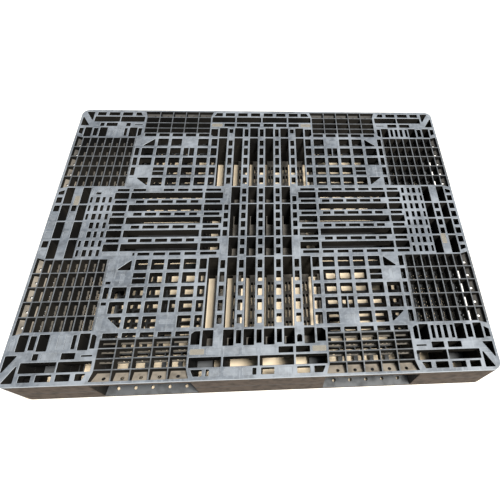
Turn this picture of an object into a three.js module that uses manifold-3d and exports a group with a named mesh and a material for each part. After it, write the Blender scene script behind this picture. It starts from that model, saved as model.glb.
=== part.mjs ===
// Four-way plastic pallet.
//
// Two injection-moulded halves meet at the middle of the height and are welded there. Each half
// is a rim and a deck of ribs over four fork tunnels, with nine hollow blocks that carry the
// load. The upper deck is the deeper one. The bars of the lower deck stand half a pitch aside,
// under the gaps of the upper one. Every half holds six anti-slip pads, set flush in its blocks.
//
// Frame: millimetres, +Z up, origin on the ground under the middle of the pallet, X along the
// long side, Y along the short side.

import * as THREE from 'three';
import { mergeGeometries, mergeVertices } from 'three/addons/utils/BufferGeometryUtils.js';
import Module from 'manifold-3d';

const wasm = await Module();
wasm.setup();

// ---- Driving dimensions -------------------------------------------------------------------
const LENGTH = 1400;
const WIDTH = 1100;
const HEIGHT = 140;
const CORNER_RADIUS = 28;
const RIM = 9; // thickness of the outer wall
const MOUTH = 38; // how far in from the outside the flare of a tunnel's mouth reaches
const MOUTH_SPLAY = 12; // how much wider a mouth is at the outside, on each side
const SKIN = 4; // thickness of the flat plates and of the sloping mouth plates
const RIB = 4; // a thin rib
const BAR = 10; // a lattice bar
const FLANGE = 3; // the wall left around a hollow under a plate
const WELD_GAP = 0.3; // clearance left between the two halves at the weld
const OVERRUN = 2; // how far a cutter runs past the face it cuts
const STEP = 0.5; // how far a slot starts beyond the wall under its end

const HALF_HEIGHT = HEIGHT / 2;
const HALF_LENGTH = LENGTH / 2;
const HALF_WIDTH = WIDTH / 2;

// Where the blocks end, measured from the centre of the pallet.
const CENTRE_X = 199;
const END_X = 450;
const CENTRE_Y = 150;
const END_Y = 395;

// The lattice between the blocks, from the middle of its first bar to the middle of its last.
const LATTICE_CELLS = 5;
const LATTICE_X = [196, 446];
const LATTICE_Y = [148.5, 395.5];
const INNER_BAR = 162; // the bar between the lattice and the strip over the middle

// The thin ribs between the lattice and the outside, from the first one outwards.
const THIN_COUNT = 4;
const THIN_X = 475.7;
const THIN_Y = 421;
const THIN_PITCH_X = 54.6;
const THIN_PITCH_Y = 29.5;

// Ladders (flat bars with windows) and the long slots between them, over the middle.
const STRIP_PITCH = 58.5; // ladders that run along Y
const STRIP_LADDER = 26;
const BAND_PITCH = 54; // ladders that run along X
const BAND_LADDER = 26;
const BAND_END = 502;

// The depth bands of the blocks along the long sides: two open rows and two plated ones.
const ROW_A = [400.5, 451];
const STRIP_B = [455, 478.5];
const CHANNEL_C = [482.5, 512.5];
const STRIP_D = [516.5, HALF_WIDTH - RIM];

// Anti-slip pads.
const PAD_LONG = 40;
const PAD_SHORT = 16;
const PAD_DEPTH = 4;
const PAD_GAP = 0.3;
const PAD_RADIUS = 2.5;
const PAD_CHAMFER = 0.8;
const END_PAD = [174, 466.5];
const SIDE_PAD = [624, -88];

// ---- Materials ----------------------------------------------------------------------------
const PLASTIC = { color: 0x4a4d52, roughness: 0.55, metalness: 0 };
const RUBBER = { color: 0xb9ab94, roughness: 0.85, metalness: 0 };

// ---- Rows of ribs -------------------------------------------------------------------------

/** `count` + 1 evenly spaced values from the first to the last of a pair. */
function steps([first, last], count) {
  return Array.from({ length: count + 1 }, (_, i) => first + ((last - first) * i) / count);
}

/** The value in the middle of each pair of neighbours. */
const middles = (values) => values.slice(1).map((value, i) => (values[i] + value) / 2);

/** The clear spans between bars of the given width whose centres are given. */
function between(centres, bar) {
  return centres.slice(1).map((centre, i) => [centres[i] + bar / 2, centre - bar / 2]);
}

/** The span of a given width about a centre. */
const about = (centre, width) => [centre - width / 2, centre + width / 2];

const BARS_X = steps(LATTICE_X, LATTICE_CELLS);
const BARS_Y = steps(LATTICE_Y, LATTICE_CELLS);
const onPitch = (pitch) => [0, 1, 2].map((i) => i * pitch);
const offPitch = (pitch) => [0.5, 1.5, 2.5].map((i) => i * pitch);

/**
 * What differs between the halves: the depth of the deck over a tunnel and at its mouth, the
 * centres of the lattice bars, of the ladders and of the slots, and where the slots along X begin.
 */
const UPPER = {
  name: 'upper',
  deck: 30,
  lip: 14,
  barsX: [INNER_BAR, ...BARS_X],
  barsY: BARS_Y,
  ladders: onPitch(STRIP_PITCH),
  slots: offPitch(STRIP_PITCH),
  bandSlots: onPitch(BAND_PITCH),
  bandStart: 132,
  gussets: true,
};
const LOWER = {
  name: 'lower',
  deck: 20,
  lip: 10,
  barsX: [INNER_BAR, ...middles(BARS_X), LATTICE_X[1]],
  barsY: [LATTICE_Y[0], ...middles(BARS_Y), LATTICE_Y[1]],
  ladders: offPitch(STRIP_PITCH),
  slots: onPitch(STRIP_PITCH),
  bandSlots: offPitch(BAND_PITCH),
  bandStart: 163,
  gussets: false,
};

// ---- Outlines and prisms ------------------------------------------------------------------

/** The corners of a rectangle between two opposite corners. */
function rectangle([x0, x1], [y0, y1]) {
  return [[x0, y0], [x1, y0], [x1, y1], [x0, y1]];
}

/** Every different mirror image of an outline in the two axes, if it is drawn where x, y > 0. */
function mirrored(outline) {
  const signs = (axis) => (outline.some((point) => point[axis] < 0) ? [1] : [1, -1]);
  return signs(0).flatMap((sx) => signs(1).map((sy) => outline.map(([x, y]) => [sx * x, sy * y])));
}

/** An upright prism; `bottom` and `top` are heights, or functions of x and y for a slope. */
function prism(outline, bottom, top) {
  const shape = new THREE.Shape(outline.map(([x, y]) => new THREE.Vector2(x, y)));
  const geometry = new THREE.ExtrudeGeometry(shape, { depth: 1, bevelEnabled: false });
  const place = geometry.getAttribute('position');
  for (let i = 0; i < place.count; i += 1) {
    const level = place.getZ(i) < 0.5 ? bottom : top;
    place.setZ(i, typeof level === 'function' ? level(place.getX(i), place.getY(i)) : level);
  }
  return geometry;
}

/** Openings through a whole half, one for each mirror image of an outline. */
const through = (outline) => mirrored(outline).map(
  (image) => prism(image, -OVERRUN, HALF_HEIGHT + OVERRUN),
);

/** The same for hollows under a plate, which are open only at the weld plane. */
const hollow = (outline) => mirrored(outline).map(
  (image) => prism(image, -OVERRUN, HALF_HEIGHT - SKIN),
);

/** A rectangle with quarter-round corners, about the origin. */
function roundedShape(width, depth, radius) {
  const shape = new THREE.Shape();
  const x = width / 2 - radius;
  const y = depth / 2 - radius;
  shape.absarc(x, y, radius, 0, Math.PI / 2);
  shape.absarc(-x, y, radius, Math.PI / 2, Math.PI);
  shape.absarc(-x, -y, radius, Math.PI, 1.5 * Math.PI);
  shape.absarc(x, -y, radius, 1.5 * Math.PI, 2 * Math.PI);
  shape.closePath();
  return shape;
}

// ---- Manifold joins and cuts --------------------------------------------------------------

/** A closed geometry as a manifold solid. */
function toSolid(geometry) {
  const bare = geometry.clone();
  bare.deleteAttribute('normal');
  bare.deleteAttribute('uv');
  const merged = mergeVertices(bare, 1e-4);
  return new wasm.Manifold(new wasm.Mesh({
    numProp: 3,
    vertProperties: new Float32Array(merged.getAttribute('position').array),
    triVerts: new Uint32Array(merged.getIndex().array),
  }));
}

/** A manifold solid as a geometry. */
function toGeometry(solid) {
  const mesh = solid.getMesh();
  const geometry = new THREE.BufferGeometry();
  geometry.setAttribute('position', new THREE.BufferAttribute(mesh.vertProperties, 3));
  geometry.setIndex(new THREE.BufferAttribute(mesh.triVerts, 1));
  geometry.computeVertexNormals();
  return geometry;
}

// ---- One half, from the weld plane (z = 0) up to the face of its deck (z = HALF_HEIGHT) -----

/** The solid plate that a half is cut from, with round corners. */
function blank() {
  const depth = HALF_HEIGHT - WELD_GAP / 2;
  const shape = roundedShape(LENGTH, WIDTH, CORNER_RADIUS);
  const plate = new THREE.ExtrudeGeometry(shape, { depth, bevelEnabled: false, curveSegments: 5 });
  return plate.translate(0, 0, WELD_GAP / 2);
}

/** Height of the inside of the deck in a flared mouth, `inset` in from the outer face. */
function mouthHeight(half, inset) {
  return HALF_HEIGHT - half.deck + (half.deck - half.lip) * (1 - inset / MOUTH);
}

/** The same as a function of x and y, for the mouths in the long and in the short sides. */
const endMouth = (half) => (x, y) => mouthHeight(half, HALF_WIDTH - Math.abs(y));
const sideMouth = (half) => (x) => mouthHeight(half, HALF_LENGTH - Math.abs(x));

/** A mouth's outline, wider at the outside, as [across, along] points. */
function flare([first, last], edge) {
  const widen = (distance) => (MOUTH_SPLAY * distance) / MOUTH;
  const start = edge - MOUTH;
  const end = edge + OVERRUN;
  const splay = widen(end - start);
  return [[first, start], [last, start], [last + splay, end], [first - splay, end]];
}

/** The four fork tunnels and the flares at the ends of each. */
function tunnels(half) {
  const alongY = rectangle([CENTRE_X, END_X], [-HALF_WIDTH - OVERRUN, HALF_WIDTH + OVERRUN]);
  const alongX = rectangle([-HALF_LENGTH - OVERRUN, HALF_LENGTH + OVERRUN], [CENTRE_Y, END_Y]);
  const endFlare = flare([CENTRE_X, END_X], HALF_WIDTH);
  const sideFlare = flare([CENTRE_Y, END_Y], HALF_LENGTH).map(([y, x]) => [x, y]);
  const cut = (outline, top) => mirrored(outline).map((image) => prism(image, -OVERRUN, top));
  return [
    ...cut(alongY, HALF_HEIGHT - half.deck),
    ...cut(alongX, HALF_HEIGHT - half.deck),
    ...cut(endFlare, endMouth(half)),
    ...cut(sideFlare, sideMouth(half)),
  ];
}

/** The square lattice. The upper half has gussets, blank plates and split cells in each quarter. */
function latticeCells(half) {
  const columns = between(half.barsX, BAR);
  const rows = between(half.barsY, BAR);
  return columns.flatMap(([x0, x1], i) => rows.flatMap(([y0, y1], j) => {
    const place = half.gussets ? `${i},${j}` : '';
    if (place === '5,0') {
      return through([[x0, y0], [x1, y1], [x0, y1]]);
    }
    if (place === '5,4') {
      return through([[x0, y0], [x1, y0], [x0, y1]]);
    }
    if (place === '2,4' || place === '5,1') {
      return [];
    }
    if (place === '2,3') {
      const middle = (x0 + x1) / 2;
      return between([x0 - RIB / 2, middle, x1 + RIB / 2], RIB).flatMap(
        (span) => through(rectangle(span, [y0, y1])),
      );
    }
    if (place === '4,1') {
      const middle = (y0 + y1) / 2;
      return between([y0 - RIB / 2, middle, y1 + RIB / 2], RIB).flatMap(
        (span) => through(rectangle([x0, x1], span)),
      );
    }
    return through(rectangle([x0, x1], [y0, y1]));
  }));
}

/** The thin ribs over a tunnel's end. The outermost cells have a sloping floor, the mouth plate. */
function thinCells(spansAcross, ribs, edge, slope, alongX) {
  const outline = (along, across) => (alongX ? rectangle(along, across) : rectangle(across, along));
  const outermost = [ribs.at(-1) + RIB / 2, edge - RIM];
  const floor = (x, y) => slope(x, y) + SKIN;
  return spansAcross.flatMap((across) => [
    ...between(ribs, RIB).flatMap((along) => through(outline(along, across))),
    ...mirrored(outline(outermost, across)).map(
      (image) => prism(image, floor, HALF_HEIGHT + OVERRUN),
    ),
  ]);
}

/** Everything that is open over the ends of the fork tunnels. */
function tunnelEndCells(half) {
  const acrossEnd = between(steps([CENTRE_X, END_X], LATTICE_CELLS), RIB);
  const acrossSide = between(steps([CENTRE_Y, END_Y], LATTICE_CELLS), RIB);
  const ribs = (start, pitch) => steps([start, start + (THIN_COUNT - 1) * pitch], THIN_COUNT - 1);
  // The outermost rib stands where the flare of the mouth begins.
  const sideRibs = [...ribs(THIN_X, THIN_PITCH_X), HALF_LENGTH - MOUTH + RIB];
  return [
    ...thinCells(acrossEnd, ribs(THIN_Y, THIN_PITCH_Y), HALF_WIDTH, endMouth(half), false),
    ...thinCells(acrossSide, sideRibs, HALF_LENGTH, sideMouth(half), true),
  ];
}

/** The clear spans of the long slots along Y, up to the bar beside the lattice. */
function slotSpans(half) {
  return half.slots.map((centre) => {
    const [start, end] = about(centre, STRIP_PITCH - STRIP_LADDER);
    return [start, Math.min(end, INNER_BAR - RIB / 2)];
  });
}

/** Slots and hollow ladders of the strip along Y over the middle of the pallet. */
function strip(half) {
  const overTunnel = [LATTICE_Y[0] + RIB / 2, LATTICE_Y[1] - RIB / 2];
  const split = CENTRE_Y / 2 - RIB;
  const overBlock = [[-split + RIB / 2, split - RIB / 2], [split + RIB / 2, CENTRE_Y - RIB]];
  const inBlock = (span) => span[1] < half.bandStart;
  const ladderHollow = [-CENTRE_Y + FLANGE, CENTRE_Y - FLANGE];
  return [
    ...slotSpans(half).flatMap((span) => through(rectangle(span, overTunnel))),
    ...slotSpans(half).filter(inBlock).flatMap(
      (span) => overBlock.flatMap((run) => through(rectangle(span, run))),
    ),
    ...half.ladders.flatMap(
      (centre) => hollow(rectangle(about(centre, STRIP_LADDER - 2 * FLANGE), ladderHollow)),
    ),
  ];
}

/** Slots along X over the middle of the pallet, split where they cross the edge of a block. */
function band(half) {
  const runs = [
    [half.bandStart, CENTRE_X - RIB],
    [CENTRE_X + STEP, END_X - RIB],
    [END_X + STEP, BAND_END],
  ];
  return half.bandSlots.flatMap((centre) => {
    const [start, end] = about(centre, BAND_PITCH - BAND_LADDER);
    const span = [start, Math.min(end, LATTICE_Y[0] - BAR / 2 - RIB)];
    return runs.flatMap((run) => through(rectangle(run, span)));
  });
}

/** The blocks in the middle of the short sides: channels, and plates over hollows. */
function sideBlocks() {
  const split = 71.5;
  const top = CENTRE_Y - FLANGE;
  const beforeMouth = CENTRE_Y - MOUTH_SPLAY;
  const channels = [[586, 613], [641, 668]].flatMap(
    (channel) => [[RIB / 2, split - RIB], [split + RIB, top]].flatMap(
      (span) => through(rectangle(channel, span)),
    ),
  );
  return [
    ...channels,
    ...hollow(rectangle([BAND_END + FLANGE, 582], [-top, top])),
    ...hollow(rectangle([672, HALF_LENGTH - RIM], [-beforeMouth, beforeMouth])),
  ];
}

/** The blocks in the middle of the long sides. */
function endBlocks(half) {
  const rib = RIB / 2;
  const edge = CENTRE_X - RIB;
  const toPads = END_PAD[0] - PAD_LONG / 2 - FLANGE;
  const beforeMouth = CENTRE_X - MOUTH_SPLAY;
  return [
    ...slotSpans(half).flatMap((span) => through(rectangle(span, ROW_A))),
    ...through(rectangle([rib, CENTRE_X / 2 - rib], CHANNEL_C)),
    ...through(rectangle([CENTRE_X / 2 + rib, edge], CHANNEL_C)),
    ...hollow(rectangle([-toPads, toPads], STRIP_B)),
    ...hollow(rectangle([-beforeMouth, beforeMouth], STRIP_D)),
  ];
}

/** The corner blocks, each with two triangles either side of a diagonal bar at its corner. */
function cornerBlocks() {
  const inner = HALF_LENGTH - RIM;
  const wells = [[477, 506], [588, 616], [645, 671]];
  const channels = [[457, 547], [551, 646]];
  return [
    ...wells.flatMap((span) => through(rectangle(span, ROW_A))),
    ...channels.flatMap((span) => through(rectangle(span, CHANNEL_C))),
    ...through([[660, 461], [inner, 461], [inner, 513]]),
    ...through([[653, 486], [683, 539], [653, 539]]),
    ...hollow(rectangle([510, 584], ROW_A)),
    ...hollow(rectangle([457, 646], STRIP_B)),
    ...hollow(rectangle([END_X + MOUTH_SPLAY + FLANGE, 646], STRIP_D)),
  ];
}

/** Centre and size of each pad on one half, as [name, x, y, length in x, length in y]. */
const PADS = [
  ['front_left', -END_PAD[0], -END_PAD[1], PAD_LONG, PAD_SHORT],
  ['front_right', END_PAD[0], -END_PAD[1], PAD_LONG, PAD_SHORT],
  ['back_left', -END_PAD[0], END_PAD[1], PAD_LONG, PAD_SHORT],
  ['back_right', END_PAD[0], END_PAD[1], PAD_LONG, PAD_SHORT],
  ['right_side', SIDE_PAD[0], SIDE_PAD[1], PAD_SHORT, PAD_LONG],
  ['left_side', -SIDE_PAD[0], -SIDE_PAD[1], PAD_SHORT, PAD_LONG],
];

/** The recess that a pad sits in, with its clearance. */
function padRecess([, x, y, width, depth]) {
  const shape = roundedShape(width + 2 * PAD_GAP, depth + 2 * PAD_GAP, PAD_RADIUS + PAD_GAP);
  const options = { depth: PAD_DEPTH + PAD_GAP + OVERRUN, bevelEnabled: false, curveSegments: 2 };
  const recess = new THREE.ExtrudeGeometry(shape, options);
  return recess.translate(x, y, HALF_HEIGHT - PAD_DEPTH - PAD_GAP);
}

/** One pad: a rounded block with a small chamfer all round, its top face at z = 0. */
function padGeometry([, , , width, depth]) {
  const shape = roundedShape(width - 2 * PAD_CHAMFER, depth - 2 * PAD_CHAMFER, PAD_RADIUS);
  const pad = new THREE.ExtrudeGeometry(shape, {
    depth: PAD_DEPTH - 2 * PAD_CHAMFER,
    bevelThickness: PAD_CHAMFER,
    bevelSize: PAD_CHAMFER,
    bevelSegments: 1,
    curveSegments: 1,
  });
  return pad.translate(0, 0, PAD_CHAMFER - PAD_DEPTH);
}

/** The whole half: the plate less the tunnels, the openings, the hollows and the pad recesses. */
function halfGeometry(half) {
  const openings = [
    ...latticeCells(half),
    ...tunnelEndCells(half),
    ...strip(half),
    ...band(half),
    ...sideBlocks(),
    ...endBlocks(half),
    ...cornerBlocks(),
    ...PADS.map(padRecess),
  ];
  let solid = toSolid(blank());
  for (const cutter of tunnels(half)) {
    solid = solid.subtract(toSolid(cutter));
  }
  return toGeometry(solid.subtract(toSolid(mergeGeometries(openings))));
}

// ---- Assembly -----------------------------------------------------------------------------

/** A half and its pads in a group of its own; `turned` lays it face down as the lower half. */
function halfAssembly(half, turned) {
  const assembly = new THREE.Group();
  const moulding = new THREE.Mesh(halfGeometry(half), new THREE.MeshStandardMaterial(PLASTIC));
  moulding.name = `${half.name}_half`;
  assembly.add(moulding);
  for (const pad of PADS) {
    const mesh = new THREE.Mesh(padGeometry(pad), new THREE.MeshStandardMaterial(RUBBER));
    const [place, x, y] = pad;
    const opposite = { front: 'back', back: 'front' };
    const placed = turned ? place.replace(/front|back/, (side) => opposite[side]) : place;
    mesh.name = `${half.name}_pad_${placed}`;
    mesh.position.set(x, y, HALF_HEIGHT);
    assembly.add(mesh);
  }
  assembly.position.z = HALF_HEIGHT;
  assembly.rotation.x = turned ? Math.PI : 0;
  return assembly;
}

const pallet = new THREE.Group();
pallet.add(halfAssembly(UPPER, false));
pallet.add(halfAssembly(LOWER, true));

export default pallet;
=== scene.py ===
"""A four-way plastic pallet: two welded mouldings with anti-slip pads, in a plain studio.

Shapes are drawn in millimetres in the frame of one half, with z = 0 on the weld plane and the
deck on top, and become metres when a mesh is made. Most are drawn once, where x and y are
positive, and mirrored. The lower half is drawn face up too, and then turned about the X axis.
"""
import math
from collections import namedtuple

import bpy
from mathutils import Matrix, Vector


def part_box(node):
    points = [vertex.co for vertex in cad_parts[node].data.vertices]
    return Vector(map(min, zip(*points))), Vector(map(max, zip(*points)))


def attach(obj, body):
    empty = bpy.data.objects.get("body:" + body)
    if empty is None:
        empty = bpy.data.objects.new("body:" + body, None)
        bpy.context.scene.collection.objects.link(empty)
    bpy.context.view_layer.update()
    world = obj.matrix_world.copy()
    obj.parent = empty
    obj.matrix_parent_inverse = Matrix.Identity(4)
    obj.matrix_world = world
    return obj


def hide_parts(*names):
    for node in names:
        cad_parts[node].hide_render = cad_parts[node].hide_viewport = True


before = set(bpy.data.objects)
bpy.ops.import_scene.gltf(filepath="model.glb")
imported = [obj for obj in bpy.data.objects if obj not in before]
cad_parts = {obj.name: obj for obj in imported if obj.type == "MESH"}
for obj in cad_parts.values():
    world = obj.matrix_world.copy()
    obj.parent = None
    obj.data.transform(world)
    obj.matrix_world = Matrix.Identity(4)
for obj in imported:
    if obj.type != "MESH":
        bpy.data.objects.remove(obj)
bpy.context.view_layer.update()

MM = 0.001

# ---- Sizes from the frame -----------------------------------------------------------------
LOW, HIGH = [[value / MM for value in corner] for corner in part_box("upper_half")]
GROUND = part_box("lower_half")[0][2] / MM
DECK_Z = HIGH[2]
WELD_Z = (DECK_Z + GROUND) / 2
HALF_LENGTH = (HIGH[0] - LOW[0]) / 2
HALF_WIDTH = (HIGH[1] - LOW[1]) / 2
HALF_HEIGHT = DECK_Z - WELD_Z
WELD_GAP = LOW[2] - WELD_Z

# ---- Sizes of the moulding, millimetres ---------------------------------------------------
CORNER_RADIUS = 28
RIM = 8
MOUTH = 38  # how far in from the outside the flare of a mouth reaches
FLARE = 12  # how much wider a mouth is at the outside, on each side
SKIN = 4  # thickness of the mouth plates
RIB = 3.6  # a thin rib
BAR = 10.5  # a lattice bar
FOOT = 4.6  # how far the inner flange of a thin rib stands out on each side
OVERRUN = 1  # how far a cutter runs past the weld plane or the outside

# Block edges, measured from the middle of the pallet.
CENTRE_X, END_X = 199, 450
CENTRE_Y, END_Y = 150, 395

# The lattice, and the thin ribs outside it.
CELLS_A_SIDE = 5
LATTICE_X = (196, 446)  # the middle of the first bar and of the last
LATTICE_Y = (148.5, 395.5)
LATTICE_CLEAR_Y = (LATTICE_Y[0] + BAR / 2, LATTICE_Y[1] - BAR / 2)  # between those two bars
INNER_BAR, OUTER_BAR = 162.8, 450
BESIDE_X, BESIDE_Y = (453, 468.5), (402, 417.5)  # narrow windows along its outer edges
BLANK_CELLS = ((2, 4), (5, 1))  # cells of the upper lattice, as column and row from the centre
GUSSET_NEAR, GUSSET_FAR = (5, 0), (5, 4)  # half filled by a triangle
TWO_COLUMNS, TWO_ROWS = (2, 3), (4, 1)  # split by a thin rib
SPLIT_OVERLAP = 2  # how far the cell of two columns eats into the bar before it
SIDE_RIBS_X = 475.7
SIDE_PITCH = 27.3
SIDE_RIBS = 8

# The strip: ladders and slots that run along Y, over the middle.
STRIP_PITCH = 59
STRIP_SLOT = 31.5
STRIP_SLOT_Y = (LATTICE_Y[0] + 2, LATTICE_Y[1] - 1)
STRIP_WINDOW = 15.5
STRIP_WINDOWS_Y = (LATTICE_CLEAR_Y[0] + 7, LATTICE_CLEAR_Y[1] - 8)  # no window reaches past these
WINDOW_MARGIN = 1  # how much shorter a window is than the gap between bars beside it
CROSS_RIB_Y = 70  # the middle of a rib across the slots of the centre block
CROSS_RIB = 4
TWIN_WINDOW = 8  # the ladders of the lower half have two narrow windows side by side
TWIN_APART = 11.6
HATCH, HATCH_Y = 22, (31, 68)  # and a wider opening in the centre block

# The band: ladders and slots that run along X.
BAND_PITCH = 54
BAND_SLOT = 28
BAND_WINDOW = 13
BAND_WINDOWS_X = ((215.5, 242.5), (254.5, 292), (302.5, 341.5), (351.5, 389.5), (399.5, 427.5),
                  (456, 497))
BAND_INNER_WINDOW = (140, 193)
BAND_END = 502
BAND_EDGE_Y = (128, 139.5)  # a row of windows between the band and the lattice
BAND_EDGE_WINDOWS_X = ((140, 193), (205.5, 242), (254, 291), (302.5, 340), (351.5, 389.5),
                       (400, 444), (456, 497))
BLOCK_GAP = 2.5  # between a slot of the band and the edge of the side block
NARROW_SLOT_Y = (82, 99)  # the last slot of the band in the lower half

# The rows of windows in the blocks that lie on the X axis, on each side of it.
BLOCK_ROWS = 4
BLOCK_PITCH = 36.3
BLOCK_WINDOW = 25

# Depth bands of the blocks along the long sides, and the hollow under them.
CHANNEL_C = (482.5, 512.5)
STRIP_D = (518, 537.5)
CAVITY = (457, 541)
CAVITY_ROOF = 26  # how deep below the deck the hollow begins

# Channels of the blocks: along X in the end and corner blocks, along Y in the side blocks.
END_CHANNELS_X = ((2.5, 100), (105, 195.5))
CORNER_CHANNELS_X = ((457, 547), (551, 646.5))
SIDE_CHANNELS_X = ((586, 613.5), (641, 668.5))

# Round holes in the mouth plates, and pairs of pockets in the feet of the thin ribs.
END_HOLE, SIDE_HOLE = 5.2, 4.4  # radius, over the long sides and over the short ones
END_HOLE_INSET, SIDE_HOLE_INSET = 20.5, 18.2
HOLE_SIDES = 20
POCKET = 6
POCKET_APART = 14

# Depths of the shallow recesses.
CLOSED_DEPTH = 1.8
LABEL_DEPTH = 1.2
PANEL_RADIUS = 1.5

PAD_PLACES = ("front_left", "front_right", "back_left", "back_right", "right_side", "left_side")
PAD_CLEARANCE = 0.4
PAD_RECESS_RADIUS = 3


# ---- Rows of ribs -------------------------------------------------------------------------
def steps(first, last, count):
    """count + 1 evenly spaced values from first to last."""
    return [first + (last - first) * i / count for i in range(count + 1)]


def middles(values):
    """The value in the middle of each pair of neighbours."""
    return [(a + b) / 2 for a, b in zip(values, values[1:])]


def between(centres, bar):
    """The clear spans between bars of one width."""
    return [(a + bar / 2, b - bar / 2) for a, b in zip(centres, centres[1:])]


def about(centre, width):
    """The span of a given width about a centre."""
    return (centre - width / 2, centre + width / 2)


def halved(span):
    """The two clear spans beside a thin rib in the middle of a span."""
    start, end = span
    return between([start - RIB / 2, (start + end) / 2, end + RIB / 2], RIB)


def on_pitch(pitch):
    """The first three places of a row that begins on the middle of the pallet."""
    return [i * pitch for i in range(3)]


def off_pitch(pitch):
    """The first three places of a row that begins half a pitch from the middle."""
    return [(i + 0.5) * pitch for i in range(3)]


BARS_X = steps(*LATTICE_X, CELLS_A_SIDE)
BARS_Y = steps(*LATTICE_Y, CELLS_A_SIDE)
LATTICE_PITCH_Y = BARS_Y[1] - BARS_Y[0]

# What differs between the halves. The ladders along Y and the lattice bars of the lower deck
# stand under the gaps of the upper one.
Half = namedtuple("Half", "deck lip bars_x bars_y ladders slots band_ladders band_slots "
                          "band_start end_ribs foot_across detailed row_a strip_b")
UPPER = Half(
    deck=30,
    lip=14,
    bars_x=[INNER_BAR, *BARS_X[:-1], OUTER_BAR],
    bars_y=BARS_Y,
    ladders=on_pitch(STRIP_PITCH),
    slots=off_pitch(STRIP_PITCH),
    band_ladders=off_pitch(BAND_PITCH)[:2],
    band_slots=[about(place, BAND_SLOT) for place in on_pitch(BAND_PITCH)],
    band_start=132,
    end_ribs=(421, 448, 477.5, 509.5),
    foot_across=0,
    detailed=True,
    row_a=(400.5, 451),
    strip_b=(457.5, 476.5),
)
LOWER = Half(
    deck=20,
    lip=10,
    bars_x=[CENTRE_X, *middles(BARS_X), OUTER_BAR],
    bars_y=[place - LATTICE_PITCH_Y / 2 for place in [*BARS_Y, BARS_Y[-1] + LATTICE_PITCH_Y]],
    ladders=off_pitch(STRIP_PITCH),
    slots=[*on_pitch(STRIP_PITCH), 3 * STRIP_PITCH],
    band_ladders=[],
    band_slots=[about(0, BAND_SLOT), about(BAND_PITCH, BAND_SLOT), NARROW_SLOT_Y],
    band_start=CENTRE_X,
    end_ribs=(424, 436, 483, 509.5),
    foot_across=FOOT,
    detailed=False,
    row_a=(400.5, 436),
    strip_b=(441, 477.5),
)

# ---- Styles of opening --------------------------------------------------------------------
Style = namedtuple("Style", "radius edge flange undercut segments")
LATTICE = Style(radius=2.6, edge=0.9, flange=3.5, undercut=2.4, segments=3)
THIN = Style(radius=1.2, edge=0.5, flange=0, undercut=0, segments=2)
WINDOW = Style(radius=1.8, edge=0.7, flange=3.5, undercut=2.0, segments=2)
DEEP = Style(radius=2.2, edge=0.8, flange=0, undercut=0, segments=2)

ABOVE = 0.3  # how far a cutter stands above the face that it cuts
FOOT_SLOPE, FOOT_RISE = 4, 2.8  # where a foot's sloping top starts and ends above the tunnel

Opening = namedtuple("Opening", "outline style foot floor")


def opening(outline, style, foot=None, floor=None):
    """A cut into the deck. foot narrows it at the tunnel's roof, floor gives a sloping bottom."""
    return Opening(outline, style, foot, floor)


# ---- Outlines -----------------------------------------------------------------------------
def rect(x_span, y_span):
    """A rectangle's corners, anticlockwise."""
    (x0, x1), (y0, y1) = x_span, y_span
    return [(x0, y0), (x1, y0), (x1, y1), (x0, y1)]


def mirrored(outline):
    """Every different mirror image of an outline in the X and Y axes, all anticlockwise."""
    xs = [x for x, y in outline]
    ys = [y for x, y in outline]
    signs_x = (1,) if abs(min(xs) + max(xs)) < 1e-6 else (1, -1)
    signs_y = (1,) if abs(min(ys) + max(ys)) < 1e-6 else (1, -1)
    images = []
    for sx in signs_x:
        for sy in signs_y:
            image = [(sx * x, sy * y) for x, y in outline]
            images.append(image if sx * sy > 0 else image[::-1])
    return images


def middle(outline):
    """The mean of an outline's corners."""
    return [sum(values) / len(outline) for values in zip(*outline)]


def offset(outline, distance):
    """A convex outline with every edge moved out by a distance."""
    moved = []
    for i, corner in enumerate(outline):
        before = Vector(corner) - Vector(outline[i - 1])
        after = Vector(outline[(i + 1) % len(outline)]) - Vector(corner)
        normal_a = Vector((before.y, -before.x)).normalized()
        normal_b = Vector((after.y, -after.x)).normalized()
        bisector = normal_a + normal_b
        moved.append(Vector(corner) + bisector * (distance * 2 / bisector.length_squared))
    return [tuple(corner) for corner in moved]


def rounded(outline, radius, segments):
    """A convex outline with each corner turned into an arc."""
    points = []
    for i, corner in enumerate(outline):
        here = Vector(corner)
        to_before = (Vector(outline[i - 1]) - here).normalized()
        to_after = (Vector(outline[(i + 1) % len(outline)]) - here).normalized()
        half_angle = to_before.angle(to_after) / 2
        centre = here + (to_before + to_after).normalized() * (radius / math.sin(half_angle))
        start = here + to_before * (radius / math.tan(half_angle)) - centre
        turn = math.pi - 2 * half_angle
        for step in range(segments + 1):
            arm = start.copy()
            arm.rotate(Matrix.Rotation(turn * step / segments, 2))
            points.append(tuple(centre + arm))
    return points


# ---- Meshes -------------------------------------------------------------------------------
def stack(rings):
    """Points and faces of a closed solid through rings of equal length, top ring first."""
    points = [point for ring in rings for point in ring]
    count = len(rings[0])
    last = len(points) - count
    faces = [list(range(count)), list(range(last + count - 1, last - 1, -1))]
    for storey in range(len(rings) - 1):
        top = storey * count
        for i in range(count):
            j = (i + 1) % count
            faces.append([top + i, top + count + i, top + count + j, top + j])
    return points, faces


def level(outline, z):
    """An outline at a height, or on a slope given as a function of x and y."""
    return [(x, y, z(x, y) if callable(z) else z) for x, y in outline]


def mesh_object(name, solids):
    """One object from many closed solids in millimetres."""
    points, faces = [], []
    for solid_points, solid_faces in solids:
        base = len(points)
        points += [tuple(value * MM for value in point) for point in solid_points]
        faces += [[base + index for index in face] for face in solid_faces]
    mesh = bpy.data.meshes.new(name)
    mesh.from_pydata(points, [], faces)
    mesh.validate()
    obj = bpy.data.objects.new(name, mesh)
    bpy.context.scene.collection.objects.link(obj)
    return obj


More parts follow.
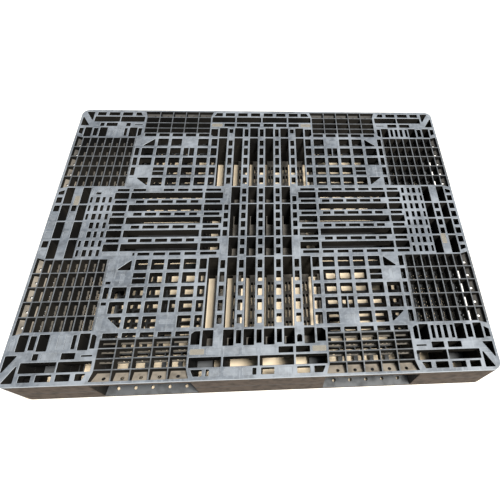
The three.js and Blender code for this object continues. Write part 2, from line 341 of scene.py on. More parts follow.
def cut(obj, solids):
    """Cuts closed solids, which don't overlap one another, out of an object."""
    tool = mesh_object("cutter", solids)
    modifier = obj.modifiers.new("cut", "BOOLEAN")
    modifier.operation = "DIFFERENCE"
    modifier.solver = "MANIFOLD"
    modifier.object = tool
    bpy.context.view_layer.update()
    graph = bpy.context.evaluated_depsgraph_get()
    result = bpy.data.meshes.new_from_object(obj.evaluated_get(graph), depsgraph=graph)
    obj.modifiers.clear()
    old = obj.data
    obj.data = result
    bpy.data.meshes.remove(old)
    bpy.data.objects.remove(tool)


def cutter(item, tunnel_top):
    """The solid that one opening removes, from above the deck down to the weld plane."""
    style = item.style

    def ring(grow, z, outline=item.outline):
        grown = offset(outline, grow) if grow else outline
        return level(rounded(grown, style.radius + max(grow, 0), style.segments), z)

    rings = [ring(style.edge + ABOVE, HALF_HEIGHT + ABOVE), ring(0, HALF_HEIGHT - style.edge)]
    if item.floor:
        return stack(rings + [ring(0, item.floor)])
    reach = style.undercut
    if reach:
        rings.append(ring(0, HALF_HEIGHT - style.flange))
        rings.append(ring(reach, HALF_HEIGHT - style.flange - reach / 2))
    if item.foot:
        rings.append(ring(0, tunnel_top + FOOT_SLOPE))
        rings.append(ring(0, tunnel_top + FOOT_RISE, item.foot))
        rings.append(ring(0, -OVERRUN, item.foot))
    else:
        rings.append(ring(reach, -OVERRUN))
    return stack(rings)


def recess(outline, depth, radius):
    """The solid of a shallow recess with a sloping edge, cut into the deck."""
    edge = 0.6
    spread = edge + ABOVE
    inside = rounded(outline, radius, 3)
    return stack([
        level(rounded(offset(outline, spread), radius + spread, 3), HALF_HEIGHT + ABOVE),
        level(inside, HALF_HEIGHT - edge),
        level(inside, HALF_HEIGHT - depth),
    ])


# ---- Layout of one half -------------------------------------------------------------------
BLOCK_CENTRES = [BLOCK_PITCH * (i + 0.5) for i in range(BLOCK_ROWS)]


def upper_cell(place, column, row):
    """The openings of one cell of the upper lattice, which may be blank, half filled or split."""
    (x0, x1), (y0, y1) = column, row
    if place in BLANK_CELLS:
        return []
    if place == GUSSET_NEAR:
        return [opening([(x0, y0), (x1, y1), (x0, y1)], LATTICE)]
    if place == GUSSET_FAR:
        return [opening([(x0, y0), (x1, y0), (x0, y1)], LATTICE)]
    if place == TWO_COLUMNS:
        return [opening(rect(span, (y0 - SPLIT_OVERLAP, y1)), THIN) for span in halved(column)]
    if place == TWO_ROWS:
        return [opening(rect(column, span), THIN) for span in halved(row)]
    return [opening(rect(column, row), LATTICE)]


def lattice(half):
    """The square cells between the blocks, and the narrow windows beside them."""
    cells = []
    rows = between(half.bars_y, BAR)
    columns = between(half.bars_x, BAR)
    for i, column in enumerate(columns):
        for j, row in enumerate(rows):
            if half.detailed:
                cells += upper_cell((i, j), column, row)
            else:
                cells.append(opening(rect(column, row), LATTICE))
    first, last = LATTICE_CLEAR_Y
    for y0, y1 in rows:
        cells.append(opening(rect(BESIDE_X, (max(y0, first), min(y1, last))), WINDOW))
    if half.detailed:
        for column in columns[1:]:
            cells.append(opening(rect(column, BESIDE_Y), WINDOW))
    return cells


def mouth_height(half, inset):
    """Height of the underside of the deck in a flared mouth, a distance in from the outside."""
    return HALF_HEIGHT - half.deck + (half.deck - half.lip) * max(0, 1 - inset / MOUTH)


def mouth_cell(across, first, last, along, edge, swap):
    """Outline of a cell over a mouth plate. The first and the last widen with the mouth."""
    start = edge - MOUTH

    def ends(place):
        splay = FLARE * max(0, place - start) / MOUTH
        return (across[0] - (splay if first else 0), across[1] + (splay if last else 0))

    (a, b), (c, d) = ends(along[0]), ends(along[1])
    corners = [(a, along[0]), (b, along[0]), (d, along[1]), (c, along[1])]
    return [(y, x) for x, y in corners][::-1] if swap else corners


END_COLUMNS = between(steps(CENTRE_X, END_X, CELLS_A_SIDE), RIB)
SIDE_ROWS = between(steps(CENTRE_Y, END_Y, CELLS_A_SIDE), RIB)
SIDE_RIB_PLACES = [SIDE_RIBS_X + SIDE_PITCH * i for i in range(SIDE_RIBS)]


def tunnel_end(half, spans_across, ribs, edge, swap):
    """The thin ribs over one end of a tunnel, and the outermost cells with their sloping floor."""
    def place(along, across):
        return rect(along, across) if swap else rect(across, along)

    def floor(x, y):
        return mouth_height(half, edge - abs(x if swap else y)) + SKIN

    cells = []
    outer = (ribs[-1] + RIB / 2, edge - RIM)
    for i, across in enumerate(spans_across):
        between_feet = (across[0] + half.foot_across, across[1] - half.foot_across)
        for start, end in between(ribs, RIB):
            foot = None
            if end - start > 3 * FOOT:
                foot = place((start + FOOT, end - FOOT), between_feet)
            cells.append(opening(place((start, end), across), THIN, foot=foot))
        outline = mouth_cell(across, i == 0, i == len(spans_across) - 1, outer, edge, swap)
        cells.append(opening(outline, THIN, floor=floor))
    return cells


def tunnel_ends(half):
    """Everything open over the ends of the four tunnels."""
    return (tunnel_end(half, END_COLUMNS, half.end_ribs, HALF_WIDTH, False)
            + tunnel_end(half, SIDE_ROWS, SIDE_RIB_PLACES, HALF_LENGTH, True))


def tunnel_windows(half):
    """The spans in y of the windows that a ladder along Y has over a tunnel."""
    first, last = STRIP_WINDOWS_Y
    spans = [(max(y0 + WINDOW_MARGIN, first), min(y1 - WINDOW_MARGIN, last))
             for y0, y1 in between(half.bars_y, BAR)]
    return [(start, end) for start, end in spans if end - start > BLOCK_WINDOW / 2]


def upper_ladder(half, centre, outermost):
    """A ladder with single windows. The outermost one has fewer of them in the centre block."""
    block = BLOCK_CENTRES[:2] if outermost else BLOCK_CENTRES
    spans = tunnel_windows(half) + [about(place, BLOCK_WINDOW) for place in block]
    return [opening(rect(about(centre, STRIP_WINDOW), span), WINDOW) for span in spans]


def lower_ladder(half, centre):
    """A ladder with two windows side by side over the tunnels, and a hatch in the centre block."""
    cells = [opening(rect(about(centre, HATCH), HATCH_Y), DEEP)]
    for span in tunnel_windows(half):
        for side in (-TWIN_APART / 2, TWIN_APART / 2):
            cells.append(opening(rect(about(centre + side, TWIN_WINDOW), span), THIN))
    return cells


def strip(half):
    """Long slots and windowed ladders along Y, over the middle of the pallet."""
    cells = []
    inner, outer = CROSS_RIB_Y - CROSS_RIB / 2, CROSS_RIB_Y + CROSS_RIB / 2
    for centre in half.slots:
        span = about(centre, STRIP_SLOT)
        cells.append(opening(rect(span, STRIP_SLOT_Y), DEEP))
        if span[1] < half.band_start:
            cells.append(opening(rect(span, (-inner, inner)), DEEP))
            cells.append(opening(rect(span, (outer, CENTRE_Y - RIB)), DEEP))
    for centre in half.ladders:
        if half.detailed:
            cells += upper_ladder(half, centre, centre == half.ladders[-1])
        else:
            cells += lower_ladder(half, centre)
    return cells


def band(half):
    """Slots and windowed ladders along X, over the middle of the pallet."""
    cells = []
    slots = [(CENTRE_X + RIB, END_X - BLOCK_GAP), (END_X + RIB, BAND_END)]
    windows = [*BAND_WINDOWS_X]
    if half.band_start < CENTRE_X:
        slots.append((half.band_start, CENTRE_X - RIB))
        windows.append(BAND_INNER_WINDOW)
    for row in half.band_slots:
        for span in slots:
            cells.append(opening(rect(span, row), DEEP))
    for span in windows:
        for centre in half.band_ladders:
            cells.append(opening(rect(span, about(centre, BAND_WINDOW)), WINDOW))
    if half.detailed:
        for span in BAND_EDGE_WINDOWS_X:
            cells.append(opening(rect(span, BAND_EDGE_Y), WINDOW))
    return cells


def side_blocks():
    """The blocks in the middle of the short sides."""
    cells = []
    columns = ((509, 519), (530.5, 540.5), (549, 562), (573, 581))
    short_column = (619, 635)
    outer_column = (673.5, HALF_LENGTH - RIM)
    for j, centre in enumerate(BLOCK_CENTRES):
        row = about(centre, BLOCK_WINDOW)
        for column in columns:
            cells.append(opening(rect(column, row), WINDOW))
        if j < 2:
            cells.append(opening(rect(short_column, row), WINDOW))
        if j < BLOCK_ROWS - 1:
            cells.append(opening(rect(outer_column, row), WINDOW))
    x0, x1 = outer_column
    bottom, top = about(BLOCK_CENTRES[-1], BLOCK_WINDOW)
    cut_corner = [(x0, bottom), (x1, bottom), (x1, top - 12), (x0, top - 4)]
    cells.append(opening(cut_corner, WINDOW))
    for channel in SIDE_CHANNELS_X:
        for run in ((2.5, 68.5), (74.5, CENTRE_Y - RIB)):
            cells.append(opening(rect(channel, run), DEEP))
    return cells


def end_blocks(half):
    """The blocks in the middle of the long sides."""
    cells = []
    plate_windows = ((6.5, 46), (56, 98.5), (106, 147))
    plate_slots = ((2.5, 100), (105, 150))
    edge_windows = ((7, 44), (57, 95), (108, 144.5))
    near, far = half.row_a
    for centre in half.slots[:3]:
        cells.append(opening(rect(about(centre, STRIP_SLOT), half.row_a), DEEP))
    for ladder in half.ladders[:2]:
        cells.append(opening(rect(about(ladder, STRIP_WINDOW), (near + 2.5, far - 6)), WINDOW))
    if half.detailed:
        x0, x1 = about(half.ladders[2], STRIP_WINDOW)
        arch = [(x1, near + 26), (x1, far - 6), (x0, far - 6), (x0, near + 26),
                (x0 + 3.5, near + 21), (x1 - 3.5, near + 21)]
        cells.append(opening(arch, WINDOW))
    round_end = [(169, near + 2.5), (186, near + 2.5), (195.5, near + 11),
                 (195.5, far - 6), (169, far - 6)]
    cells.append(opening(round_end, WINDOW))
    if half.detailed:
        for span in plate_windows:
            cells.append(opening(rect(span, half.strip_b), WINDOW))
    else:
        for span in plate_slots:
            cells.append(opening(rect(span, half.strip_b), DEEP))
    for span in END_CHANNELS_X:
        cells.append(opening(rect(span, CHANNEL_C), DEEP))
    for span in edge_windows:
        cells.append(opening(rect(span, STRIP_D), WINDOW))
    d0, d1 = STRIP_D
    cells.append(opening([(156, d0), (189, d0), (180, d1), (156, d1)], WINDOW))
    return cells


def corner_blocks(half):
    """The corner blocks, with two triangles either side of a diagonal bar."""
    cells = []
    wells = ((477, 506), (588, 616.5), (645, 671.5))
    windows = ((513.5, 524), (532, 543), (551.5, 563), (573, 583), (622.5, 639))
    plate_windows = ((506.5, 544), (555.5, 597))
    edge_windows = ((507, 545), (556, 597), (608.5, 640.5))
    inner = HALF_LENGTH - RIM
    near, far = half.row_a
    for span in wells:
        cells.append(opening(rect(span, half.row_a), DEEP))
    for span in windows:
        cells.append(opening(rect(span, (near + 4, far - 4)), WINDOW))
    round_end = [(466, near + 4), (473, near + 4), (473, far - 4), (459, far - 4), (459, near + 10)]
    cells.append(opening(round_end, WINDOW))
    cells.append(opening([(677, 412), (inner, 421), (inner, far - 4), (677, far - 4)], WINDOW))
    for span in plate_windows:
        cells.append(opening(rect(span, half.strip_b), WINDOW))
    cells.append(opening(rect((460, 491), about(467.5, 4.8)), DEEP))
    for span in CORNER_CHANNELS_X:
        cells.append(opening(rect(span, CHANNEL_C), DEEP))
    for span in edge_windows:
        cells.append(opening(rect(span, STRIP_D), WINDOW))
    d0, d1 = STRIP_D
    cells.append(opening([(467, d0), (494, d0), (494, d1), (476, d1)], WINDOW))
    cells.append(opening([(660, 461), (inner, 461), (inner, 514)], DEEP))
    cells.append(opening([(653, 486), (683.5, 539), (653, 539)], DEEP))
    return cells


# ---- What the upper half has in one place only ---------------------------------------------
# Areas whose windows are closed by a plate, as spans in x and y.
CLOSED = [
    ((-584, -531), (-448, -404)),
    ((-693, -676), (-450, -411)),
    ((-598, -554), (-478, -457)),
    ((-469, -451), (-392, -348)),
    ((-148, 47), (-477, -457)),
    ((-146, -5), (-538, -516)),
    ((56, 96), (-538, -516)),
    ((-128, -109), (-446, -420)),
    ((-636, -618), (-70, 35)),
    ((-693, -673), (-70, 35)),
    ((-693, -673), (-140, -103)),
    ((-582, -572), (-70, 0)),
    ((-500, -454), (-141, -126)),
    ((-446, -398), (-141, -126)),
    ((-392, -350), (126, 141)),
    ((-584, -531), (404, 448)),
    ((-545, -506), (457, 477)),
    ((-469, -451), (150, 196)),
    ((-469, -451), (348, 392)),
    ((-469, -451), (-192, -150)),
    ((-469, -451), (-242, -200)),
    ((-469, -451), (-341, -300)),
    ((-583, -507), (114, 140)),
]


# Windows that have no mirror image, as spans in x and y.
SINGLE_WINDOWS = [
    ((-620, -605), (-476.5, -457.5)),
    ((-146, -137), (-537.5, -518)),
    ((-17, -6), (-537.5, -518)),
    ((-405, -398), (-139.5, -128)),
    ((-620, -605), (457.5, 476.5)),
    ((-523, -506.5), (457.5, 476.5)),
    ((-468.5, -453), (-242, -232)),
    ((-468.5, -453), (-313, -303)),
    ((-566, -549), (115, 125)),
    (about(2 * STRIP_PITCH, STRIP_WINDOW), about(BLOCK_CENTRES[2], BLOCK_WINDOW)),
]


def is_closed(outline):
    """Whether a window of the upper half lies in one of the closed areas."""
    x, y = middle(outline)
    return any(x0 < x < x1 and y0 < y < y1 for (x0, x1), (y0, y1) in CLOSED)


# ---- One half -----------------------------------------------------------------------------
def blank():
    """The solid that one half is cut from, with rounded corners and a broken top edge."""
    outline = rect((-HALF_LENGTH, HALF_LENGTH), (-HALF_WIDTH, HALF_WIDTH))

    def ring(inset, z):
        return level(rounded(offset(outline, -inset), CORNER_RADIUS - inset, 8), z)

    deck_edge = [(1.6, 0), (0.5, 0.5), (0, 1.8)]  # inset and depth below the deck
    weld_edge = [(0, 1.0), (0.6, 0)]  # inset and height above the weld
    return stack([ring(inset, HALF_HEIGHT - depth) for inset, depth in deck_edge]
                 + [ring(inset, WELD_GAP + height) for inset, height in weld_edge])


def tunnel(half, near, far, edge, swap):
    """A fork tunnel from one side to the other, with a flared mouth at both ends."""
    sections = []
    for place in (-edge - OVERRUN, -edge + MOUTH, edge - MOUTH, edge + OVERRUN):
        splay = max(0, abs(place) - (edge - MOUTH)) / MOUTH
        top = HALF_HEIGHT - half.deck + (half.deck - half.lip) * splay
        low, high = near - FLARE * splay, far + FLARE * splay
        corners = [(low, -OVERRUN), (high, -OVERRUN), (high, top), (low, top)]
        if swap:
            sections.append([(place, y, z) for y, z in corners][::-1])
        else:
            sections.append([(x, place, z) for x, z in corners])
    return stack(sections)


def drill(x, y, radius, top, bottom):
    """The solid of a round hole."""
    ring = [(x + radius * math.cos(angle), y + radius * math.sin(angle))
            for angle in steps(0, 2 * math.pi, HOLE_SIDES)[:-1]]
    return stack([level(ring, top), level(ring, bottom)])


def small_holes(half):
    """The round hole in each mouth plate, and pairs of square pockets in the feet of the ribs."""
    solids = []
    roof = HALF_HEIGHT - half.deck

    def holes(x, y, radius):
        for sx in (1, -1):
            for sy in (1, -1):
                solids.append(drill(sx * x, sy * y, radius, HALF_HEIGHT - 2, roof - OVERRUN))

    def pocket(x, y):
        for image in mirrored(rect(about(x, POCKET), about(y, POCKET))):
            solids.append(stack([level(image, roof + POCKET), level(image, roof - OVERRUN)]))

    for across in END_COLUMNS:
        centre = sum(across) / 2
        holes(centre, HALF_WIDTH - END_HOLE_INSET, END_HOLE)
        for rib in half.end_ribs[1:-1]:
            pocket(centre - POCKET_APART / 2, rib)
            pocket(centre + POCKET_APART / 2, rib)
    for across in SIDE_ROWS:
        centre = sum(across) / 2
        holes(HALF_LENGTH - SIDE_HOLE_INSET, centre, SIDE_HOLE)
        for rib in SIDE_RIB_PLACES[1:-1]:
            pocket(rib, centre - POCKET_APART / 2)
            pocket(rib, centre + POCKET_APART / 2)
    return solids


def pad_box(name):
    """The lowest and highest corners of a pad of the frame, in millimetres."""
    return [Vector(corner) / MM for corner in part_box(name)]


def pad_recesses():
    """The recess under each pad. The pads of both halves stand in the same places."""
    solids = []
    for place in PAD_PLACES:
        low, high = pad_box("upper_pad_" + place)
        outline = offset(rect((low.x, high.x), (low.y, high.y)), PAD_CLEARANCE)
        solids.append(recess(outline, high.z - low.z + PAD_CLEARANCE, PAD_RECESS_RADIUS))
    return solids


def label_recesses():
    """Shallow blank panels on the plates that carry no window."""
    panels = [
        rect(about(274, 32), about(370.5, 11)),
        rect(about(421, 10), about(223, 32)),
        rect(about(2 * STRIP_PITCH, 11), about(127, 24)),
    ]
    return [recess(image, LABEL_DEPTH, PANEL_RADIUS)
            for panel in panels for image in mirrored(panel)]


def cavities():
    """The hollows below the deck that join the openings of a block. They keep off the mouths."""
    near, far = CAVITY
    taper = HALF_WIDTH - MOUTH
    start, end = END_CHANNELS_X[1]
    first, last = CORNER_CHANNELS_X[0]
    outlines = [
        rect(END_CHANNELS_X[0], CAVITY),
        [(start, near), (end, near), (end, taper), (end - 9.5, far), (start, far)],
        [(first - 2, near), (last, near), (last, far), (first + 9, far), (first - 2, taper)],
        rect(CORNER_CHANNELS_X[1], CAVITY),
        rect((136, 194), (-124, 124)),
    ]
    return [stack([level(image, HALF_HEIGHT - CAVITY_ROOF), level(image, -OVERRUN)])
            for outline in outlines for image in mirrored(outline)]


def build_half(name, half):
    """One moulding: the blank less its tunnels, openings, holes and recesses."""
    moulding = mesh_object(name, [blank()])
    along_y = [tunnel(half, near, far, HALF_WIDTH, False)
               for near, far in ((CENTRE_X, END_X), (-END_X, -CENTRE_X))]
    along_x = [tunnel(half, near, far, HALF_LENGTH, True)
               for near, far in ((CENTRE_Y, END_Y), (-END_Y, -CENTRE_Y))]
    cut(moulding, along_y)
    cut(moulding, along_x)
    openings = (lattice(half) + tunnel_ends(half) + strip(half) + band(half) + side_blocks()
                + end_blocks(half) + corner_blocks(half))
    tunnel_top = HALF_HEIGHT - half.deck
    solids = label_recesses() if half.detailed else []
    for item in openings:
        feet = mirrored(item.foot) if item.foot else [None] * 4
        for outline, foot in zip(mirrored(item.outline), feet):
            if half.detailed and is_closed(outline):
                solids.append(recess(outline, CLOSED_DEPTH, PANEL_RADIUS))
            else:
                solids.append(cutter(item._replace(outline=outline, foot=foot), tunnel_top))
    cut(moulding, solids)
    cut(moulding, cavities())
    cut(moulding, small_holes(half) + pad_recesses())
    if half.detailed:
        cut(moulding, [cutter(opening(rect(*spans), WINDOW), tunnel_top)
                       for spans in SINGLE_WINDOWS])
    return moulding


# ---- Pads ---------------------------------------------------------------------------------
GRIP_RADIUS = 2.5
GRIP_CHAMFER = 0.8
GRIP_BORDER = 1.7  # smooth edge around the studs
GROOVE = 0.9
GROOVE_DEPTH = 0.8
GROOVE_SPREAD = 0.15  # how much wider a groove is at its top, on each side
STUD_PITCH = 3.1


def grooves(length, width):
    """Parallel grooves across the width of a pad, their bottoms below a top face at z = 0."""
    inner = length - 2 * GRIP_BORDER
    count = round(inner / STUD_PITCH)
    reach = width / 2 - GRIP_BORDER
    solids = []
    for place in steps(-inner / 2 + GROOVE / 2, inner / 2 - GROOVE / 2, count):
        bottom = rect(about(place, GROOVE), (-reach, reach))
        top = offset(bottom, GROOVE_SPREAD)
        solids.append(stack([level(top, ABOVE), level(bottom, -GROOVE_DEPTH)]))
    return solids


def turn_flat(solids):
    """Solids turned a quarter turn about the Z axis."""
    return [([(-y, x, z) for x, y, z in points], faces) for points, faces in solids]


def grip(name, length, width, thickness):
    """A pad: a block with rounded corners and a grid of square studs, its top face at z = 0."""
    outline = rect(about(0, length), about(0, width))

    def ring(inset, z):
        return level(rounded(offset(outline, -inset), GRIP_RADIUS, 4), z)

    rings = [ring(GRIP_CHAMFER, 0), ring(0, -GRIP_CHAMFER), ring(0, -thickness)]
    pad = mesh_object(name, [stack(rings)])
    cut(pad, grooves(length, width))
    cut(pad, turn_flat(grooves(width, length)))
    return pad


# ---- Materials ----------------------------------------------------------------------------
class Shader:
    """A material's nodes. Methods take numbers, colours or the outputs of other nodes."""

    def __init__(self, name):
        self.material = bpy.data.materials.new(name)
        self.material.use_nodes = True
        self.nodes = self.material.node_tree.nodes
        self.links = self.material.node_tree.links
        self.surface = self.nodes["Principled BSDF"]
        self.place = self.nodes.new("ShaderNodeTexCoord").outputs["Object"]
        self.normal = self.nodes.new("ShaderNodeNewGeometry").outputs["True Normal"]

    def feed(self, socket, value):
        """Sets a socket to a number or a colour, or links another node's output to it."""
        if isinstance(value, bpy.types.NodeSocket):
            self.links.new(value, socket)
        elif isinstance(value, tuple) and len(value) == 3 and socket.type == "RGBA":
            socket.default_value = (*value, 1)
        else:
            socket.default_value = value

    def math(self, operation, a, b=0.0):
        node = self.nodes.new("ShaderNodeMath")
        node.operation = operation
        self.feed(node.inputs[0], a)
        self.feed(node.inputs[1], b)
        return node.outputs[0]

    def ramp(self, value, start, end):
        """0 where the value is at start and 1 where it is at end, smooth between."""
        node = self.nodes.new("ShaderNodeMapRange")
        node.interpolation_type = "SMOOTHSTEP"
        self.feed(node.inputs["Value"], value)
        self.feed(node.inputs["From Min"], start)
        self.feed(node.inputs["From Max"], end)
        return node.outputs["Result"]

    def beyond(self, value, edge):
        """1 where a length is past an edge in millimetres, 0 short of it."""
        return self.ramp(value, (edge - 0.4) * MM, (edge + 0.4) * MM)

    def within(self, value, low, high):
        """1 where a length is between two values in millimetres."""
        return self.math("SUBTRACT", self.beyond(value, low), self.beyond(value, high))

    def mix(self, factor, a, b):
        node = self.nodes.new("ShaderNodeMix")
        node.data_type = "RGBA"
        self.feed(node.inputs["Factor"], factor)
        self.feed(node.inputs[6], a)
        self.feed(node.inputs[7], b)
        return node.outputs[2]

    def noise(self, scale, detail=3.0, stretch=(1, 1, 1)):
        """Noise from 0 to 1, with about scale lumps a metre, stretched by a factor on each axis."""
        mapping = self.nodes.new("ShaderNodeMapping")
        self.feed(mapping.inputs["Vector"], self.place)
        mapping.inputs["Scale"].default_value = stretch
        node = self.nodes.new("ShaderNodeTexNoise")
        self.feed(node.inputs["Vector"], mapping.outputs[0])
        self.feed(node.inputs["Scale"], scale)
        self.feed(node.inputs["Detail"], detail)
        return node.outputs["Fac"]

    def split(self, vector):
        node = self.nodes.new("ShaderNodeSeparateXYZ")
        self.feed(node.inputs[0], vector)
        return node.outputs

    def bump(self, height, strength, distance):
        node = self.nodes.new("ShaderNodeBump")
        self.feed(node.inputs["Height"], height)
        node.inputs["Strength"].default_value = strength
        node.inputs["Distance"].default_value = distance
        return node.outputs[0]

    def finish(self, colour, roughness, normal, specular):
        """Feeds the surface, and gives the finished material."""
        self.feed(self.surface.inputs["Base Color"], colour)
        self.feed(self.surface.inputs["Roughness"], roughness)
        self.feed(self.surface.inputs["Normal"], normal)
        self.feed(self.surface.inputs["Specular IOR Level"], specular)
        return self.material


# Inside walls: near black, darker than the plastic itself, as painted shade.
PAINTED_SHADE_WALL = (0.011, 0.011, 0.011)
WALL_DUST = (0.041, 0.037, 0.031)
FACE_DUST = (0.085, 0.066, 0.053)
GRIME = (0.030, 0.030, 0.030)
SCUFFED = (0.112, 0.130, 0.155)
SCUFFED_PALE = (0.225, 0.253, 0.290)
THIN_SCUFFED = (0.088, 0.097, 0.108)
# Pale for wear on the decks; on the chamfered deck edges it is also a painted highlight.
PALE_WEAR_AND_HIGHLIGHT = (0.310, 0.342, 0.378)
PLATE_DUST = (0.250, 0.225, 0.190)
PLATE_DARK = (0.075, 0.073, 0.069)
FOOT_DUST = (0.105, 0.097, 0.084)
LADDER_DUST = (0.140, 0.132, 0.120)
PLATE_BLUE = (0.100, 0.108, 0.117)
LOW_LEDGE = (0.036, 0.038, 0.041)


Wear = namedtuple("Wear", "patches grime blotches scratches")


def wear_masks(s):
    """Where the plastic is scuffed in patches, grimy, pale in small blotches, or scratched."""
    along_x = s.ramp(s.noise(60, 2, (0.10, 2.6, 1)), 0.60, 0.72)
    along_y = s.ramp(s.noise(60, 2, (2.6, 0.10, 1)), 0.61, 0.73)
    return Wear(
        patches=s.ramp(s.noise(7, 5), 0.38, 0.66),
        grime=s.ramp(s.noise(38, 5), 0.42, 0.70),
        blotches=s.ramp(s.noise(85, 4), 0.46, 0.66),
        scratches=s.math("MAXIMUM", along_x, along_y),
    )


def side_colour(s, x, y, wear):
    """Upright faces: inside walls near black as painted shade, with patches of dust; dusty on the
    outside of the pallet.
    """
    shaded_dusty_wall = s.mix(s.math("MULTIPLY", wear.patches, 0.6), PAINTED_SHADE_WALL, WALL_DUST)
    face = s.mix(s.math("MULTIPLY", wear.grime, 0.5), FACE_DUST, GRIME)
    outside = s.math("MAXIMUM", s.beyond(x, HALF_LENGTH - 1.5), s.beyond(y, HALF_WIDTH - 1.5))
    return s.mix(outside, shaded_dusty_wall, face)


def ledge_colour(s, x, y, z, back_or_right, wear):
    """Ledges below the decks: dusty plates and feet in the upper half, mostly darker ones below."""
    toward_mouth = s.math("MAXIMUM", s.beyond(x, SIDE_RIBS_X), s.beyond(y, UPPER.end_ribs[0]))
    lower = s.mix(s.beyond(x, CENTRE_X), LADDER_DUST, LOW_LEDGE)
    lower = s.mix(toward_mouth, lower, PLATE_BLUE)
    at_mouth = s.math("MAXIMUM", s.beyond(x, HALF_LENGTH - MOUTH), s.beyond(y, HALF_WIDTH - MOUTH))
    upper = s.mix(at_mouth, FOOT_DUST, PLATE_DUST)
    # The upper ledges are darker at the back and at the right of the pallet.
    upper = s.mix(back_or_right, upper, PLATE_DARK)
    ledge = s.mix(s.beyond(z, WELD_Z), lower, upper)
    return s.mix(s.math("MULTIPLY", wear.grime, 0.5), ledge, GRIME)


def thin_ribs(s, x, y, right):
    """1 on the thin ribs over the tunnels' ends, and on the rim over the mouths at the right."""
    over_sides = s.within(y, CENTRE_Y + 1, END_Y - 1)
    over_ends = s.within(x, CENTRE_X + 1, END_X - 1)
    sides = s.math("MULTIPLY", s.beyond(x, SIDE_RIBS_X - RIB), over_sides)
    ends = s.math("MULTIPLY", s.beyond(y, UPPER.end_ribs[0] - RIB), over_ends)
    inner = s.math("MULTIPLY", s.within(x, 0, HALF_LENGTH - RIM), s.within(y, 0, HALF_WIDTH - RIM))
    return s.math("MULTIPLY", s.math("MAXIMUM", sides, ends), s.math("MAXIMUM", inner, right))


def deck_colour(s, from_weld, thin, wear):
    """The face of a deck, worn less on its thin ribs and a little paler in its recesses."""
    deck = s.mix(wear.patches, SCUFFED, SCUFFED_PALE)
    deck = s.mix(thin, deck, THIN_SCUFFED)
    deck = s.mix(s.math("MULTIPLY", wear.scratches, 0.35), deck, PALE_WEAR_AND_HIGHLIGHT)
    deck = s.mix(s.math("MULTIPLY", wear.grime, 0.35), deck, GRIME)
    deck = s.mix(s.math("MULTIPLY", wear.blotches, 0.22), deck, PALE_WEAR_AND_HIGHLIGHT)
    sunk = s.within(from_weld, HALF_HEIGHT - 2.6, HALF_HEIGHT - 0.9)
    return s.mix(s.math("MULTIPLY", sunk, 0.2), deck, PALE_WEAR_AND_HIGHLIGHT)


def moulding_material():
    """Charcoal plastic: scuffed pale and bluish on the decks, with painted highlights on their
    chamfered edges, dusty on ledges and outer faces, with painted shade on the inside walls.
    """
    s = Shader("scuffed_plastic")
    x, y, z = s.split(s.place)
    back = s.ramp(y, 0.1, 0.4)
    right = s.ramp(x, 0.5, 0.6)
    x, y = s.math("ABSOLUTE", x), s.math("ABSOLUTE", y)
    up = s.math("ABSOLUTE", s.split(s.normal)[2])
    upright = s.ramp(up, 0.30, 0.12)
    flat = s.ramp(up, 0.90, 0.99)
    from_weld = s.math("ABSOLUTE", s.math("SUBTRACT", z, WELD_Z * MM))
    at_deck = s.ramp(from_weld, (HALF_HEIGHT - 3.0) * MM, (HALF_HEIGHT - 2.4) * MM)
    wear = wear_masks(s)

    thin = thin_ribs(s, x, y, right)
    # Chamfers along the deck edges: pale as a painted highlight and as rubbed wear, darker on the
    # thin ribs.
    edge_wear_and_highlight = s.mix(thin, PALE_WEAR_AND_HIGHLIGHT, THIN_SCUFFED)
    top = s.mix(flat, edge_wear_and_highlight, deck_colour(s, from_weld, thin, wear))
    ledge = ledge_colour(s, x, y, z, s.math("MAXIMUM", back, right), wear)
    colour = s.mix(upright, s.mix(at_deck, ledge, top), side_colour(s, x, y, wear))

    dull_sides = s.math("ADD", s.math("MULTIPLY", upright, 0.30), 0.44)
    roughness = s.math("ADD", s.math("MULTIPLY", wear.grime, 0.18), dull_sides)
    specular = s.math("ADD", s.math("MULTIPLY", at_deck, 0.24), 0.06)
    fine_grain = s.math("MULTIPLY", s.noise(900, 3), 0.5)
    relief = s.math("ADD", fine_grain, s.math("MULTIPLY", wear.scratches, -0.6))
    return s.finish(colour, roughness, s.bump(relief, 0.25, 0.0005), specular)


GRIP_SAND = (0.340, 0.325, 0.285)
GRIP_SPECK = (0.265, 0.250, 0.215)
GRIP_WORN = (0.200, 0.190, 0.165)
GRIP_GROOVE = (0.100, 0.092, 0.078)


def grip_material():
    """Sand-coloured rubber, finely speckled, darker in its grooves."""
    s = Shader("grip_rubber")
    z = s.split(s.place)[2]
    from_weld = s.math("ABSOLUTE", s.math("SUBTRACT", z, WELD_Z * MM))
    groove = s.ramp(from_weld, (HALF_HEIGHT - 0.2) * MM, (HALF_HEIGHT - GROOVE_DEPTH + 0.1) * MM)
    speckle = s.ramp(s.noise(2600, 2), 0.45, 0.60)
    wear = s.ramp(s.noise(90, 4), 0.35, 0.70)
    colour = s.mix(speckle, GRIP_SAND, GRIP_SPECK)
    colour = s.mix(s.math("MULTIPLY", wear, 0.35), colour, GRIP_WORN)
    colour = s.mix(s.math("MULTIPLY", groove, 0.65), colour, GRIP_GROOVE)
    roughness = s.math("ADD", s.math("MULTIPLY", wear, -0.12), 0.86)
    return s.finish(colour, roughness, s.bump(s.noise(1800, 3), 0.3, 0.0003), 0.3)


FLOOR_UNDER = (0.86, 0.74, 0.56)
FLOOR_AROUND = (0.88, 0.88, 0.87)


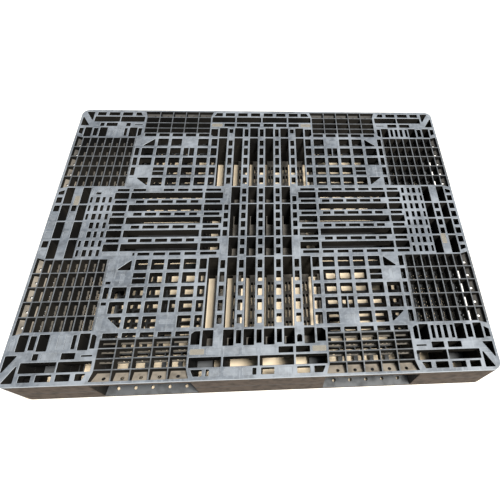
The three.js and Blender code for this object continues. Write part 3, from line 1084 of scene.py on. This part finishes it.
def floor_material():
    """Pale floor, a little warmer under the pallet."""
    s = Shader("pale_floor")

    def away(distance, half_size):
        """0 under the pallet and 1 around it, with a soft change at its outline."""
        from_middle = s.math("ABSOLUTE", distance)
        return s.ramp(from_middle, (half_size - 12) * MM, (half_size + 6) * MM)

    x, y = s.split(s.place)[:2]
    around = s.math("MAXIMUM", away(x, HALF_LENGTH), away(y, HALF_WIDTH))
    colour = s.mix(around, FLOOR_UNDER, FLOOR_AROUND)
    return s.finish(colour, 0.9, s.bump(s.noise(120, 3), 0.05, 0.0004), 0.1)


# ---- Assembly -----------------------------------------------------------------------------
UPRIGHT = Matrix.Translation((0, 0, WELD_Z * MM))
TURNED = UPRIGHT @ Matrix.Rotation(math.pi, 4, "X")


def add_piece(obj, material, node):
    """Gives a piece its material and its body, and hides the CAD node that it stands for."""
    obj.data.materials.clear()
    obj.data.materials.append(material)
    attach(obj, "root")
    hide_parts(node)


def build_pallet():
    """Both mouldings, and the six pads of each."""
    plastic = moulding_material()
    rubber = grip_material()
    for name, half, turn in (("upper", UPPER, UPRIGHT), ("lower", LOWER, TURNED)):
        moulding = build_half(name + "_moulding", half)
        moulding.data.transform(turn)
        add_piece(moulding, plastic, name + "_half")
        for place in PAD_PLACES:
            node = f"{name}_pad_{place}"
            low, high = pad_box(node)
            size = high - low
            pad = grip(f"{name}_grip_{place}", size.x, size.y, size.z)
            centre = (low + high) / 2
            side = -1 if name == "lower" else 1
            spot = (centre.x * MM, side * centre.y * MM, HALF_HEIGHT * MM)
            pad.data.transform(Matrix.Translation(spot))
            pad.data.transform(turn)
            add_piece(pad, rubber, node)


# ---- Studio -------------------------------------------------------------------------------
FLOOR_REACH = 8.0
SENSOR = 36.0
FOCAL = 0.776  # focal length as a share of the sensor
SHIFT = (-0.1236, 0.0804)
ELEVATION, AZIMUTH, ROLL = 62.12, 8.25, 6.04  # degrees
CAMERA_PLACE = (0.0805, -0.8365)
CAMERA_ABOVE_DECK = 1.0672
KEY_PLACE = Vector((2.2, -1.9, 6.4))
KEY_POWER = 950
KEY_SIZE = 1.8
KEY_COLOUR = (1.0, 0.95, 0.88)
SKY_COLOUR = (0.88, 0.94, 1.0, 1)
SKY_STRENGTH = 0.35


def add_floor():
    """A wide plain floor at the height of the ground."""
    mesh = bpy.data.meshes.new("floor")
    corners = rect((-FLOOR_REACH, FLOOR_REACH), (-FLOOR_REACH, FLOOR_REACH))
    mesh.from_pydata(level(corners, GROUND * MM), [], [(0, 1, 2, 3)])
    floor = bpy.data.objects.new("floor", mesh)
    bpy.context.scene.collection.objects.link(floor)
    mesh.materials.append(floor_material())


def add_camera():
    """A camera that looks down at the pallet from above its front edge."""
    data = bpy.data.cameras.new("camera")
    data.sensor_width = SENSOR
    data.lens = SENSOR * FOCAL
    data.shift_x, data.shift_y = SHIFT
    camera = bpy.data.objects.new("camera", data)
    bpy.context.scene.collection.objects.link(camera)
    bpy.context.scene.camera = camera
    place = Matrix.Translation((*CAMERA_PLACE, DECK_Z * MM + CAMERA_ABOVE_DECK))
    pan = Matrix.Rotation(-math.radians(AZIMUTH), 4, "Z")
    tilt = Matrix.Rotation(math.radians(90 - ELEVATION), 4, "X")
    roll = Matrix.Rotation(math.radians(ROLL), 4, "Z")
    camera.matrix_world = place @ pan @ tilt @ roll


def add_light():
    """A large soft key light, high up at the front right, and a pale bluish sky."""
    data = bpy.data.lights.new("key", "AREA")
    data.energy = KEY_POWER
    data.size = KEY_SIZE
    data.color = KEY_COLOUR
    light = bpy.data.objects.new("key", data)
    light.location = KEY_PLACE
    light.rotation_euler = (-KEY_PLACE).to_track_quat("-Z", "Y").to_euler()
    bpy.context.scene.collection.objects.link(light)
    world = bpy.data.worlds.new("sky")
    world.use_nodes = True
    background = world.node_tree.nodes["Background"]
    background.inputs["Color"].default_value = SKY_COLOUR
    background.inputs["Strength"].default_value = SKY_STRENGTH
    bpy.context.scene.world = world
    bpy.context.scene.view_settings.view_transform = "Standard"


build_pallet()
add_floor()
add_camera()
add_light()
